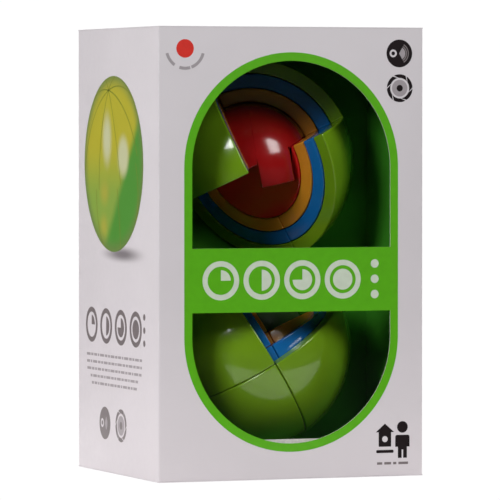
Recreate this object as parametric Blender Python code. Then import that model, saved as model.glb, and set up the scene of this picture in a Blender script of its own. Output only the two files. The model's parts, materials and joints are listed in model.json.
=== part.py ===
"""A four-layer puzzle ball of 21 pieces, packed as two part-built balls in a window carton.

Metres, +Z up, front of the carton towards -Y. The origin is the middle of the carton's underside.
Each shell piece is a patch of a sphere made solid towards the centre. In a ball's own frame Z is the
pole that the pieces turn about, and a piece is a list of quarter patches (hemisphere, first longitude).
"""

import bmesh
import bpy
from math import cos, hypot, pi, radians, sin
from mathutils import Matrix, Vector

# Carton
WIDTH, DEPTH, HEIGHT = 0.138, 0.118, 0.220
BOARD = 0.0005
GAP = 0.0003
FLAP_DROP = BOARD + GAP
DUST_FLAP_LENGTH = 0.030
DUST_FLAP_TAPER = 0.60
TOP_TUCK_LENGTH, BOTTOM_TUCK_LENGTH = 0.0120, 0.0186
TUCK_SETBACK = 0.0015
CREASE_OFFSET = 0.0002

# Window in the front panel: one stadium, crossed by a band
WINDOW_RADIUS = 0.05175
WINDOW_LOW, WINDOW_HIGH = 0.0174, 0.2035
BAND_LOW, BAND_HIGH = 0.0815, 0.1126
FILM = 0.0002
FILM_MARGIN = 0.0065
FILM_LOW, FILM_HIGH = 0.0114, 0.2065

# Ball: outer radius of each layer, from the outside in
BALL_RADIUS = 0.0515
LAYER_STEP = 0.0072
CORE_RADIUS = BALL_RADIUS - 3 * LAYER_STEP
COLOURS = ("green", "blue", "yellow")
CUT_GAP = GAP / 2
FACET = radians(10)
JOG = 40
FACET_DIP = 1 - cos(FACET / 2 ** 0.5)

# How each part-built ball lies in the tray: its pole, and the direction of longitude 0
UPPER_CENTRE = Vector((0.0012, 0.0, 0.1535))
UPPER_POLE = Vector((-0.444, 0.088, 0.891))
UPPER_START = Vector((-0.817, 0.370, -0.444))
LOWER_CENTRE = Vector((0.0, 0.0, 0.0620))
LOWER_POLE = Vector((-0.101, -0.988, -0.120))
LOWER_START = Vector((-0.831, 0.149, -0.526))
LOWER_STEP_AXIS = Vector((0.933, -0.360, 0.0))
LOWER_STEP = radians(-11)

# Red core: the front block lies turned in the ball, off the axis, with a tongue below the equator
FRONT_BLOCK_TURN = radians(-17)
FRONT_BLOCK_OFFSET = 0.0040
TONGUE_REACH = 0.0205
TONGUE_SHOULDER = 0.0060
TONGUE_DROP = 0.0107

# Tray
TRAY_WALL = 0.0008
TRAY_HALF_WIDTH = 0.0672
TRAY_LOW, TRAY_HIGH = 0.0020, 0.2120
TRAY_FRONT = -0.0560
TRAY_WEB = 0.0070
CUP_RADIUS = (BALL_RADIUS + GAP) / (1 - FACET_DIP)
DOME_RADIUS = CORE_RADIUS
DOME_NECK_RADIUS = 0.0240

FAR = 0.2

# Colour, roughness
FINISHES = {
    "board": ((0.79, 0.78, 0.78), 0.55),
    "film": ((0.90, 0.95, 0.95), 0.05),
    "tray": ((0.03, 0.18, 0.02), 0.25),
    "green": ((0.22, 0.42, 0.03), 0.15),
    "blue": ((0.02, 0.22, 0.55), 0.15),
    "yellow": ((0.75, 0.33, 0.04), 0.15),
    "red": ((0.55, 0.02, 0.02), 0.12),
}


# Scene helpers


def clear_scene():
    for obj in list(bpy.data.objects):
        bpy.data.objects.remove(obj, do_unlink=True)


def make_collection(name):
    collection = bpy.data.collections.new(name)
    bpy.context.scene.collection.children.link(collection)
    return collection


def make_material(name, colour, roughness):
    material = bpy.data.materials.new(name)
    material.use_nodes = True
    shader = material.node_tree.nodes["Principled BSDF"]
    shader.inputs["Base Color"].default_value = (*colour, 1.0)
    shader.inputs["Roughness"].default_value = roughness
    shader.inputs["Metallic"].default_value = 0.0
    return material


def add_object(name, data, collection, material=None):
    obj = bpy.data.objects.new(name, data)
    collection.objects.link(obj)
    if material:
        data.materials.append(material)
    return obj


def mesh_from(bm, name):
    mesh = bpy.data.meshes.new(name)
    bmesh.ops.recalc_face_normals(bm, faces=bm.faces)
    bm.to_mesh(mesh)
    bm.free()
    return mesh


def box_mesh(name, low, high):
    bm = bmesh.new()
    size = Vector(high) - Vector(low)
    place = Matrix.Translation((Vector(low) + Vector(high)) / 2) @ Matrix.Diagonal((*size, 1.0))
    bmesh.ops.create_cube(bm, size=1.0, matrix=place)
    return mesh_from(bm, name)


def add_cutter(name, data, matrix=None):
    obj = add_object(name, data, cutters)
    obj.matrix_world = matrix or Matrix.Identity(4)
    obj.hide_render = True
    obj.display_type = "WIRE"
    return obj


def combine(obj, operation, other):
    modifier = obj.modifiers.new(operation.title() + " " + other.name, "BOOLEAN")
    modifier.operation = operation
    modifier.solver = "EXACT"
    modifier.object = other


# Carton


def flat_panel(name, outlines, thickness, matrix):
    """A sheet from closed outlines in its own XY plane; the first is the edge and the rest are holes."""
    curve = bpy.data.curves.new(name, "CURVE")
    curve.dimensions = "2D"
    curve.fill_mode = "BOTH"
    curve.extrude = thickness / 2
    for outline in outlines:
        spline = curve.splines.new("POLY")
        spline.points.add(len(outline) - 1)
        for point, (x, y) in zip(spline.points, outline):
            point.co = (x, y, 0.0, 1.0)
        spline.use_cyclic_u = True
    obj = add_object(name, curve, parts, materials["board"])
    obj.matrix_world = matrix
    return obj


def rectangle(x0, y0, x1, y1):
    return [(x0, y0), (x1, y0), (x1, y1), (x0, y1)]


def arch_outline(spring, flat, steps=32):
    """A half round on a straight-sided base: the round springs at one height, the base is flat at another."""
    side = 1 if spring > flat else -1
    round_end = [
        (WINDOW_RADIUS * cos(pi * i / steps), spring + side * WINDOW_RADIUS * sin(pi * i / steps))
        for i in range(steps + 1)
    ]
    return [*round_end, (-WINDOW_RADIUS, flat), (WINDOW_RADIUS, flat)]


def upright(x, y, turn):
    """Places an XY outline upright at (x, y), its face turned about Z by an angle in degrees."""
    return Matrix.Translation((x, y, 0)) @ Matrix.Rotation(radians(turn), 4, "Z") @ Matrix.Rotation(pi / 2, 4, "X")


def make_walls():
    low, high = FLAP_DROP, HEIGHT - FLAP_DROP
    windows = [
        arch_outline(WINDOW_HIGH - WINDOW_RADIUS, BAND_HIGH),
        arch_outline(WINDOW_LOW + WINDOW_RADIUS, BAND_LOW),
    ]
    front = rectangle(-WIDTH / 2, low, WIDTH / 2, high)
    wall_y, wall_x = (DEPTH - BOARD) / 2, (WIDTH - BOARD) / 2
    flat_panel("carton_front", [front, *windows], BOARD, upright(0, -wall_y, 0))
    flat_panel("carton_back", [front], BOARD, upright(0, wall_y, 0))
    side_half = DEPTH / 2 - BOARD - GAP
    side = rectangle(-side_half, low, side_half, high)
    flat_panel("carton_left", [side], BOARD, upright(-wall_x, 0, 90))
    flat_panel("carton_right", [side], BOARD, upright(wall_x, 0, 90))


def dust_flap_outline():
    """Outline from the crease at X=0 inwards, with both ends tapered so that it clears the lid."""
    half = DEPTH / 2 - BOARD - GAP - 0.001
    taper = DUST_FLAP_TAPER * DUST_FLAP_LENGTH
    return [(0, -half), (DUST_FLAP_LENGTH, taper - half), (DUST_FLAP_LENGTH, half - taper), (0, half)]


def make_closure(end, cover_z, flap_z, tuck_low, tuck_length):
    """One end of the carton: a cover, a tuck flap inside the front and two dust flaps under the cover."""
    at = Matrix.Translation
    cover = rectangle(-WIDTH / 2, -DEPTH / 2, WIDTH / 2, DEPTH / 2 - CREASE_OFFSET / 2)
    names = {"top": "top_lid", "bottom": "bottom_panel"}
    flat_panel(names[end], [cover], BOARD, at((0, 0, cover_z)))
    inside = WIDTH / 2 - BOARD - GAP
    flap = dust_flap_outline()
    flat_panel(f"{end}_dust_flap_left", [flap], BOARD, at((-inside, 0, flap_z)))
    mirrored = [(-x, y) for x, y in reversed(flap)]
    flat_panel(f"{end}_dust_flap_right", [mirrored], BOARD, at((inside, 0, flap_z)))
    half = inside - 0.002
    corner = 0.006
    tuck = [
        (-half, tuck_length), (-half, corner), (corner - half, 0),
        (half - corner, 0), (half, corner), (half, tuck_length),
    ]
    if end == "bottom":
        tuck = [(x, tuck_length - y) for x, y in reversed(tuck)]
    tuck_y = -(DEPTH / 2 - BOARD - TUCK_SETBACK)
    flat_panel(f"{end}_tuck_flap", [tuck], BOARD, at((0, 0, tuck_low)) @ upright(0, tuck_y, 0))


def make_film():
    y = -(DEPTH / 2 - BOARD - GAP)
    half = WINDOW_RADIUS + FILM_MARGIN
    mesh = box_mesh("window_film", (-half, y, FILM_LOW), (half, y + FILM, FILM_HIGH))
    add_object("window_film", mesh, parts, materials["film"])


# Tray


def ball_mesh(name, radius):
    bm = bmesh.new()
    around = round(2 * pi / FACET)
    bmesh.ops.create_uvsphere(bm, u_segments=around, v_segments=around // 2, radius=radius)
    return mesh_from(bm, name)


def neck_mesh(name, radius, length):
    """A cylinder that runs from the origin towards +Y."""
    bm = bmesh.new()
    place = Matrix.Rotation(-pi / 2, 4, "X") @ Matrix.Translation((0, 0, length / 2))
    around = round(2 * pi / FACET)
    bmesh.ops.create_cone(
        bm, cap_ends=True, segments=around, radius1=radius, radius2=radius, depth=length, matrix=place
    )
    return mesh_from(bm, name)


def make_tray():
    """A thin tray: side walls around a web, with a round cup behind each ball.

    The lower ball has no core, so a hollow dome on a neck stands in its cup to carry the octants.
    """
    outer = box_mesh(
        "insert_tray",
        (-TRAY_HALF_WIDTH, TRAY_FRONT, TRAY_LOW),
        (TRAY_HALF_WIDTH, TRAY_WEB + TRAY_WALL, TRAY_HIGH),
    )
    tray = add_object("insert_tray", outer, parts, materials["tray"])
    inner_half = TRAY_HALF_WIDTH - TRAY_WALL
    room = box_mesh(
        "tray_room",
        (-inner_half, TRAY_FRONT - FAR, TRAY_LOW + TRAY_WALL),
        (inner_half, TRAY_WEB, TRAY_HIGH - TRAY_WALL),
    )
    spheres = []
    for name, centre in (("upper", UPPER_CENTRE), ("lower", LOWER_CENTRE)):
        place = Matrix.Translation(centre)
        wall = add_cutter(f"{name}_cup_wall", ball_mesh(f"{name}_cup_wall", CUP_RADIUS + TRAY_WALL), place)
        combine(tray, "UNION", wall)
        spheres.append(add_cutter(f"{name}_cup", ball_mesh(f"{name}_cup", CUP_RADIUS), place))
    for sphere in spheres:
        combine(tray, "DIFFERENCE", sphere)
    combine(tray, "DIFFERENCE", add_cutter("tray_room", room))
    place = Matrix.Translation(LOWER_CENTRE)
    neck = DOME_NECK_RADIUS
    combine(tray, "UNION", add_cutter("dome", ball_mesh("dome", DOME_RADIUS), place))
    combine(tray, "UNION", add_cutter("dome_neck", neck_mesh("dome_neck", neck, CUP_RADIUS), place))
    inside = ball_mesh("dome_inside", DOME_RADIUS - TRAY_WALL)
    combine(tray, "DIFFERENCE", add_cutter("dome_inside", inside, place))
    bore = neck_mesh("neck_inside", neck - TRAY_WALL, FAR)
    combine(tray, "DIFFERENCE", add_cutter("neck_inside", bore, place))
    front_space = box_mesh("tray_front_space", (-FAR, -FAR, -FAR), (FAR, TRAY_FRONT, FAR))
    combine(tray, "DIFFERENCE", add_cutter("tray_front_space", front_space))


# Ball


def ball_frame(centre, pole, start):
    """World matrix of a ball: Z along its pole and X as near as possible to longitude 0."""
    z = pole.normalized()
    x = (start - start.dot(z) * z).normalized()
    rotation = Matrix((x, z.cross(x), z)).transposed()
    return Matrix.Translation(centre) @ rotation.to_4x4()


def in_quarter(point, hemisphere, first):
    """Whether a point is over a 90 degree patch: hemisphere 1 or -1, first longitude in degrees."""
    middle = radians(first + 45)
    along = point.x * cos(middle) + point.y * sin(middle)
    return point.z * hemisphere > 0 and along > hypot(point.x, point.y) * cos(pi / 4)


def cut_normals(vert):
    """Unit normals, pointing into the piece, of the cut planes that meet at a point on its edge."""
    normals = []
    for edge in vert.link_edges:
        if not edge.is_boundary:
            continue
        normal = edge.verts[0].co.cross(edge.verts[1].co).normalized()
        if normal.dot(edge.link_faces[0].calc_center_median()) < 0:
            normal.negate()
        if all(normal.dot(other) < 0.99 for other in normals):
            normals.append(normal)
    return normals


def shell_mesh(name, outer, inner, quarters):
    """The patches of one sphere shell as a single solid, pulled back by CUT_GAP from each cut plane."""
    bm = bmesh.new()
    around = round(2 * pi / FACET)
    bmesh.ops.create_uvsphere(bm, u_segments=around, v_segments=around // 2, radius=outer)
    spare = [
        face for face in bm.faces
        if not any(in_quarter(face.calc_center_median(), *quarter) for quarter in quarters)
    ]
    bmesh.ops.delete(bm, geom=spare, context="FACES")
    pull = bm.verts.layers.float_vector.new("pull")
    for vert in bm.verts:
        vert[pull] = sum(cut_normals(vert), Vector()) * CUT_GAP
    outer_verts = set(bm.verts)
    bmesh.ops.extrude_face_region(bm, geom=bm.faces[:], use_keep_orig=True)
    for vert in bm.verts:
        if vert not in outer_verts:
            vert.co *= inner / outer
    for vert in bm.verts:
        vert.co += vert[pull]
    return mesh_from(bm, name)


def add_shell(name, layer, quarters, frame):
    outer = BALL_RADIUS - layer * LAYER_STEP
    inner = (outer - LAYER_STEP + GAP) / (1 - FACET_DIP)
    mesh = shell_mesh(name, outer, inner, quarters)
    obj = add_object(name, mesh, parts, materials[COLOURS[layer]])
    obj.matrix_world = frame


UPPER_SHELLS = {
    "front_octant": [(1, 0)],
    "rear_double": [(1, 270), (-1, 270 - JOG)],
    "side_double": [(1, 180), (-1, 180 - JOG)],
}
LOWER_SHELLS = {
    "left_octant": [(1, 270)],
    "base_octant": [(1, 0)],
    "right_octant": [(1, 90)],
}


def make_shells():
    upper = ball_frame(UPPER_CENTRE, UPPER_POLE, UPPER_START)
    for layer, colour in enumerate(COLOURS):
        for name, quarters in UPPER_SHELLS.items():
            add_shell(f"{colour}_{name}", layer, quarters, upper)
        tip = Matrix.Rotation(layer * LOWER_STEP, 3, LOWER_STEP_AXIS.normalized())
        lower = ball_frame(LOWER_CENTRE, tip @ LOWER_POLE, tip @ LOWER_START)
        for name, quarters in LOWER_SHELLS.items():
            add_shell(f"{colour}_{name}", layer, quarters, lower)
    return upper


def make_core(frame):
    """Three solid pieces that fill the middle of the upper ball."""

    block = frame @ Matrix.Rotation(FRONT_BLOCK_TURN, 4, "Y")
    lower_face = frame @ Matrix.Rotation(radians(90 - JOG), 4, "Z")

    def piece(name, cuts):
        obj = add_object(name, ball_mesh(name, CORE_RADIUS), parts, materials["red"])
        obj.matrix_world = frame
        for number, (low, high, place) in enumerate(cuts):
            cutter = f"{name}_cut_{number}"
            combine(obj, "DIFFERENCE", add_cutter(cutter, box_mesh(cutter, low, high), place))

    gap = CUT_GAP
    offset = FRONT_BLOCK_OFFSET
    piece("red_core_front", [
        ((-offset - gap, -FAR, -FAR), (FAR, FAR, FAR), block),
        ((-FAR, -FAR, -FAR), (FAR, FAR, -TONGUE_DROP), block),
        ((-FAR, -FAR, -FAR), (-TONGUE_REACH, FAR, TONGUE_SHOULDER), block),
        ((-FAR, -FAR, -FAR), (FAR, gap, FAR), frame),
        ((-FAR, -FAR, -FAR), (gap, FAR, gap), lower_face),
    ])
    piece("red_core_back", [
        ((-FAR, -FAR, -FAR), (FAR, FAR, gap), frame),
        ((-FAR, -gap, -FAR), (-offset + gap, FAR, FAR), block),
    ])
    piece("red_core_base", [
        ((-FAR, -FAR, -gap), (FAR, FAR, FAR), frame),
        ((-gap, -FAR, -FAR), (FAR, FAR, FAR), lower_face),
    ])


clear_scene()
parts = make_collection("puzzle_ball_in_carton")
cutters = make_collection("cutters")
materials = {name: make_material(name, *finish) for name, finish in FINISHES.items()}

make_walls()
rim = HEIGHT - FLAP_DROP
make_closure("top", HEIGHT - BOARD / 2, rim - BOARD / 2, rim - TOP_TUCK_LENGTH, TOP_TUCK_LENGTH)
make_closure("bottom", BOARD / 2, FLAP_DROP + BOARD / 2, FLAP_DROP, BOTTOM_TUCK_LENGTH)
make_film()
make_tray()
make_core(make_shells())
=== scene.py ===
"""The looks of the puzzle ball in its window carton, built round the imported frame.

Metres, +Z up, the carton's front towards -Y. Places come from the frame; sizes that it doesn't state
are named below.
"""

import json
from math import cos, hypot, pi, radians, sin, tan

import bmesh
import bpy
from mathutils import Matrix, Vector

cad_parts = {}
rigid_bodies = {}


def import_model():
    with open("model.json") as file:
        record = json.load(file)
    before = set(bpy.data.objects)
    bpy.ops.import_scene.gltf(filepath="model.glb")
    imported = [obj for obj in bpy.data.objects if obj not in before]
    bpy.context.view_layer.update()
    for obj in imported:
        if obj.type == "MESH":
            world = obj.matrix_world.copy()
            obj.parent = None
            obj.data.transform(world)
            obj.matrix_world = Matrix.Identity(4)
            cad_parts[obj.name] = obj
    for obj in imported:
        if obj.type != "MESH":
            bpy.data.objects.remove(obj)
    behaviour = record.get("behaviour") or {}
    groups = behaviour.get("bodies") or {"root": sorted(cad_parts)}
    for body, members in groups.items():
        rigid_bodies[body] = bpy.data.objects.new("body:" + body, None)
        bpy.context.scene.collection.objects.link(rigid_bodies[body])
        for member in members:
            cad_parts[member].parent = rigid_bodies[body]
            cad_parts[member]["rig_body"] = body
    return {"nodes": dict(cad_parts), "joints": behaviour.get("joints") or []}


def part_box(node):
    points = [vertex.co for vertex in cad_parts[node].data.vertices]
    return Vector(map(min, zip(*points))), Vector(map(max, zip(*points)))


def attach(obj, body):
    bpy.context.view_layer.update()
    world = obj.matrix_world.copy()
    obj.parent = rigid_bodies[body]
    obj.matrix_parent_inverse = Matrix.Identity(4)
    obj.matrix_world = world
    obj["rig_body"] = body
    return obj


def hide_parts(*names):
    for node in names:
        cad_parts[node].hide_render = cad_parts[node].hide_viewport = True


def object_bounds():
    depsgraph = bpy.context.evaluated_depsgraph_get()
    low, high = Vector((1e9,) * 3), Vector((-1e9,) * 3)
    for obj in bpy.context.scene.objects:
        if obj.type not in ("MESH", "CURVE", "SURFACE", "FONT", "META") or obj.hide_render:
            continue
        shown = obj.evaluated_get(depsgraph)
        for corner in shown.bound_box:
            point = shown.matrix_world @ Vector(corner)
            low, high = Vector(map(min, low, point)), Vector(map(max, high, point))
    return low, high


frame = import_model()
cad_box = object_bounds()
joints = {joint["name"]: joint for joint in frame["joints"]}
cad = frame["nodes"]

# Carton
LOW, HIGH = (Vector(corner) for corner in cad_box)
WIDTH, DEPTH = (HIGH - LOW).xy
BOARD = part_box("top_lid")[1][2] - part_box("top_lid")[0][2]
GAP = 0.0003  # clearance between CAD pieces
CREASE = 0.00005  # what is left of it between the walls and the closures
WALL_LOW, WALL_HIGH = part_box("bottom_panel")[1][2] + CREASE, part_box("top_lid")[0][2] - CREASE
WINDOW_RADIUS = 0.05175
WINDOW_LOW, WINDOW_HIGH = 0.0174, 0.2035
SPRING_LOW, SPRING_HIGH = WINDOW_LOW + WINDOW_RADIUS, WINDOW_HIGH - WINDOW_RADIUS
BAND_LOW, BAND_HIGH = 0.0815, 0.1126
BAND_MIDDLE = (BAND_LOW + BAND_HIGH) / 2
CORNER = 0.0007
INNER_CORNER = CORNER - BOARD * 0.7
FLAP_EDGE_ROUND = 0.00015

# Ball
BALL_RADIUS = 0.0515
LAYER_STEP = 0.0072
CORE_RADIUS = BALL_RADIUS - 3 * LAYER_STEP
COLOURS = ("green", "blue", "yellow")
CUT_GAP = GAP / 2
PATCH_STEPS = 18  # grid steps along a side of an octant
JOG = 40  # degrees from a seam above the upper ball's equator to the one below it
UPPER_START = Vector((-0.817, 0.370, -0.444))
LOWER_START = Vector((-0.831, 0.149, -0.526))
LOWER_STEP_AXIS = Vector((0.933, -0.360, 0.0))
LOWER_STEP = radians(-11)  # how much further than the layer outside it each inner layer is tipped
FRONT_BLOCK_TURN = radians(-17)
FRONT_BLOCK_OFFSET = 0.0040
TONGUE_REACH = 0.0205
TONGUE_SHOULDER = 0.0060
TONGUE_DROP = 0.0107
EDGE_ROUND = 0.0008
CORE_EDGE_ROUND = 0.0007
CORE_SEAM = 0.00006
CORE_SEAM_FOOT = 0.001  # a core edge that stays above this height over the equator is a closed seam
CORE_TINY_EDGE = 0.0002

# Tray
TRAY_WALL = 0.0008
TRAY_LOW, TRAY_HIGH = (Vector(corner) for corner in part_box("insert_tray"))
TRAY_WEB = 0.0070  # how far behind the balls' centres the flat web stands
CUP_RADIUS = BALL_RADIUS + 0.0008
DOME_NECK_RADIUS = 0.0240
TRAY_TINY_EDGE = 0.00005

# Print. A place on a face is (from its centre line to the right, up from the carton's foot)
INK = 0.00001
INK_LIFT = 0.00002
BOARD_WHITE = (0.64, 0.605, 0.63)
BORDER = 0.0041
RING_SIZE, RING_PITCH = 0.0190, 0.0212
FRONT_ROW_LEFT, BACK_ROW_LEFT = -0.0465, -0.0413
FRONT_DOTS_X, FRONT_DOT_RADIUS, FRONT_DOT_PITCH = 0.0435, 0.0021, 0.0075
RED_DOT_PLACE, RED_DOT_RADIUS = (-0.0554, 0.2092), 0.0045
CAPTION_INNER, CAPTION_OUTER = 0.0088, 0.0103
BADGE_SIZE = 0.0136
LAYERS_PLACE, BLADES_PLACE = (0.0565, 0.2073), (0.0567, 0.1903)
HOUSE_PLACE, HOUSE_BAR_PLACE = (0.0490, 0.0146), (0.0490, 0.0115)
FIGURE_PLACE = (0.0583, 0.0089)
SMALL_WORDS_LEFT, SMALL_WORDS_RIGHT, SMALL_WORDS_LOW = 0.0448, 0.0613, 0.0058
WORD_HEIGHT = 0.0012
WORD_LENGTHS = (4.2, 2.6, 3.4, 1.6, 4.8, 2.9, 2.1)
BACK_STEP_HEIGHT, BACK_STEP_PITCH, BACK_STEP_RADII = 0.158, 0.031, (0.0125, 0.0085, 0.005)
BACK_WORD_TOPS = {"upper": 0.1375, "lower": 0.0700}
BACK_WORD_WIDTHS = (0.076, 0.074, 0.075, 0.066, 0.052)
BACK_WORD_PITCH = 0.0034

# Print on the sides. An X is from the left end of the row of rings
SIDE_RING_SIZE, SIDE_RING_PITCH, SIDE_RING_HEIGHT = 0.0176, 0.0217, 0.0726
SIDE_ROW_HALF = 0.0414
SIDE_ROW_SETBACK = 0.0062
SIDE_DOTS_X, SIDE_DOT_RADIUS, SIDE_DOT_PITCH = 0.0862, 0.0016, 0.0064
SIDE_WORDS_X, SIDE_WORDS_TOP, SIDE_WORD_HEIGHT, SIDE_WORD_PITCH = 0.0422, 0.0584, 0.0013, 0.00355
SIDE_WORD_WIDTHS = (0.0814, 0.0810, 0.0800, 0.0700, 0.0666)
SIDE_BADGE_SIZE, SIDE_BADGE_HEIGHT = 0.0162, 0.0243
SIDE_LAYERS_X, SIDE_BLADES_X = 0.0286, 0.0524
BALL_PRINT_HEIGHT, BALL_PRINT_SETBACK = 0.1530, 0.0060
BALL_PRINT_RADIUS = 0.0434
BALL_PRINT_POLE = Vector((-0.163, 0.837, 0.522))
BALL_PRINT_START = Vector((0.162, 0.046, 0.986))
BALL_PRINT_SEAMS = 8
BALL_PRINT_SEAM = 0.0006
BALL_PRINT_BREAK = 76  # degrees from the pole at which a seam jogs
BALL_PRINT_JOG = -7
BALL_PRINT_RIM = 0.12  # a seam ends where it faces the viewer less than this
BALL_SHADOW = (0.0380, 0.0052)
BALL_SHADOW_SHIFT, BALL_SHADOW_HEIGHT = 0.0130, 0.1087

# Studio
CAMERA_LENS = 344.37
CAMERA_PLACE = (-0.85551, -2.21996, 0.17619)
CAMERA_DIP, CAMERA_TURN = 1.593, -21.0946  # degrees below level and round Z
SOFTBOX_AIM = Vector((0, -0.03, 0.16))
SEEN_WHITE = 1.02  # the floor and the backdrop as the camera sees them
ROOM_LIGHT = 0.014
FLOOR_RADIUS = 12.0
SHEET_LOW, SHEET_HIGH = (-0.35, -0.17, -0.0001), (0.35, 0.45, 0.0)

# Mesh work
FAR = 0.2  # past every piece, for a tool that cuts right through
WELD = 1e-5
BEVEL_ANGLE, SMOOTH_ANGLE = radians(35), radians(30)


# Materials


SOCKETS = {"ior": "IOR", "specular": "Specular IOR Level"}


class Nodes:
    """A short way to build a material's node tree."""

    def __init__(self, name):
        self.material = bpy.data.materials.new(name)
        self.material.use_nodes = True
        self.tree = self.material.node_tree
        self.shader = self.tree.nodes["Principled BSDF"]

    def add(self, kind, **settings):
        node = self.tree.nodes.new("ShaderNode" + kind)
        for key, value in settings.items():
            if hasattr(node, key):
                setattr(node, key, value)
            else:
                node.inputs[key.replace("_", " ").title()].default_value = value
        return node

    def link(self, source, target):
        self.tree.links.new(source, target)

    def set(self, **values):
        for key, value in values.items():
            self.shader.inputs[SOCKETS.get(key, key.replace("_", " ").title())].default_value = value

    def noise(self, scale, detail=2.0):
        where = self.add("TexCoord")
        noise = self.add("TexNoise", scale=scale, detail=detail)
        self.link(where.outputs["Object"], noise.inputs["Vector"])
        return noise.outputs["Fac"]

    def ramp(self, source, low, high, start=0.3, end=0.7):
        ramp = self.add("ValToRGB")
        ends = ramp.color_ramp.elements
        for end_point, place, value in ((ends[0], start, low), (ends[1], end, high)):
            end_point.position = place
            end_point.color = (*value, 1.0) if isinstance(value, tuple) else (value, value, value, 1.0)
        self.link(source, ramp.inputs["Fac"])
        return ramp.outputs["Color"]

    def bump(self, source, distance, strength=1.0):
        bump = self.add("Bump")
        bump.inputs["Distance"].default_value = distance
        bump.inputs["Strength"].default_value = strength
        self.link(source, bump.inputs["Height"])
        self.link(bump.outputs["Normal"], self.shader.inputs["Normal"])

    def fade(self, source, none, full):
        """0 where source is at none and 1 where it is at full, smooth in between."""
        fade = self.add("MapRange", interpolation_type="SMOOTHSTEP")
        fade.inputs["From Min"].default_value = none
        fade.inputs["From Max"].default_value = full
        self.link(source, fade.inputs["Value"])
        return fade.outputs["Result"]

    def distance(self, centre, half):
        """Distance from a centre in the XY plane, where an ellipse with these half sizes is 1."""
        where = self.add("TexCoord")
        shape = self.add("Mapping")
        shape.inputs["Scale"].default_value = (1 / half[0], 1 / half[1], 0.0)
        shape.inputs["Location"].default_value = (-centre[0] / half[0], -centre[1] / half[1], 0.0)
        self.link(where.outputs["Object"], shape.inputs["Vector"])
        length = self.add("VectorMath", operation="LENGTH")
        self.link(shape.outputs["Vector"], length.inputs[0])
        return length.outputs["Value"]

    def along(self, direction):
        """Distance from the origin along a direction."""
        where = self.add("TexCoord")
        dot = self.add("VectorMath", operation="DOT_PRODUCT")
        dot.inputs[1].default_value = direction
        self.link(where.outputs["Object"], dot.inputs[0])
        return dot.outputs["Value"]

    def mix(self, share, first, second):
        """The first colour where share is 0 and the second where it is 1."""
        mix = self.add("Mix", data_type="RGBA")
        self.link(share, mix.inputs[0])
        for socket, value in ((mix.inputs[6], first), (mix.inputs[7], second)):
            if isinstance(value, tuple):
                socket.default_value = (*value, 1.0)
            else:
                self.link(value, socket)
        return mix.outputs[2]


def scaled(values, factor):
    """Each value times a factor and at most 1, as a colour needs."""
    return tuple(min(1.0, value * factor) for value in values)


def moulded_plastic(name, colour, glow=0.0, coat=0.35):
    """Polished injection-moulded plastic: faint colour drift, uneven polish and a slight orange peel."""
    made = Nodes(name)
    drift = made.ramp(made.noise(38.0), scaled(colour, 0.93), scaled(colour, 1.05))
    made.link(drift, made.shader.inputs["Base Color"])
    made.link(made.ramp(made.noise(160.0, 4.0), 0.13, 0.21), made.shader.inputs["Roughness"])
    made.bump(made.noise(420.0, 2.0), 0.00002, 0.35)
    made.set(ior=1.49, coat_weight=coat, coat_roughness=0.06, subsurface_weight=glow)
    made.shader.inputs["Subsurface Radius"].default_value = (1.0, 1.0, 0.4)
    made.shader.inputs["Subsurface Scale"].default_value = 0.002
    return made.material


def coated_board(name, colour):
    """Clay-coated carton board: a soft sheen over a fine fibre texture and a slow drift in tone."""
    made = Nodes(name)
    tone = made.ramp(made.noise(22.0, 3.0), scaled(colour, 0.975), scaled(colour, 1.01))
    made.link(tone, made.shader.inputs["Base Color"])
    made.link(made.ramp(made.noise(300.0, 3.0), 0.32, 0.45), made.shader.inputs["Roughness"])
    made.bump(made.noise(1400.0, 4.0), 0.00002, 0.5)
    made.set(ior=1.45)
    return made.material


def raw_board(name, colour):
    """The uncoated inside and the cut edges: matt, with visible fibres."""
    made = Nodes(name)
    fibres = made.ramp(made.noise(700.0, 6.0), scaled(colour, 0.88), scaled(colour, 1.05))
    made.link(fibres, made.shader.inputs["Base Color"])
    made.bump(made.noise(900.0, 5.0), 0.00004, 0.7)
    made.set(roughness=0.85, ior=1.4)
    return made.material


def printing_ink(name, colour, roughness=0.28, specular=0.5):
    """Offset ink under varnish, with the faint mottle of a solid print."""
    made = Nodes(name)
    mottle = made.ramp(made.noise(260.0, 5.0), scaled(colour, 0.95), scaled(colour, 1.04))
    made.link(mottle, made.shader.inputs["Base Color"])
    made.bump(made.noise(1400.0, 4.0), 0.00001, 0.4)
    made.set(roughness=roughness, ior=1.47, specular=specular)
    return made.material


def formed_sheet(name, colour, roughness=0.12, specular=0.5):
    """Thermoformed sheet: glossy, with the long soft waves that forming leaves."""
    made = Nodes(name)
    drift = made.ramp(made.noise(20.0), scaled(colour, 0.85), scaled(colour, 1.12))
    made.link(drift, made.shader.inputs["Base Color"])
    made.link(made.ramp(made.noise(60.0), roughness, roughness + 0.08), made.shader.inputs["Roughness"])
    made.bump(made.noise(22.0, 0.0), 0.0003, 0.25)
    made.set(ior=1.5, specular=specular)
    return made.material


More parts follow.
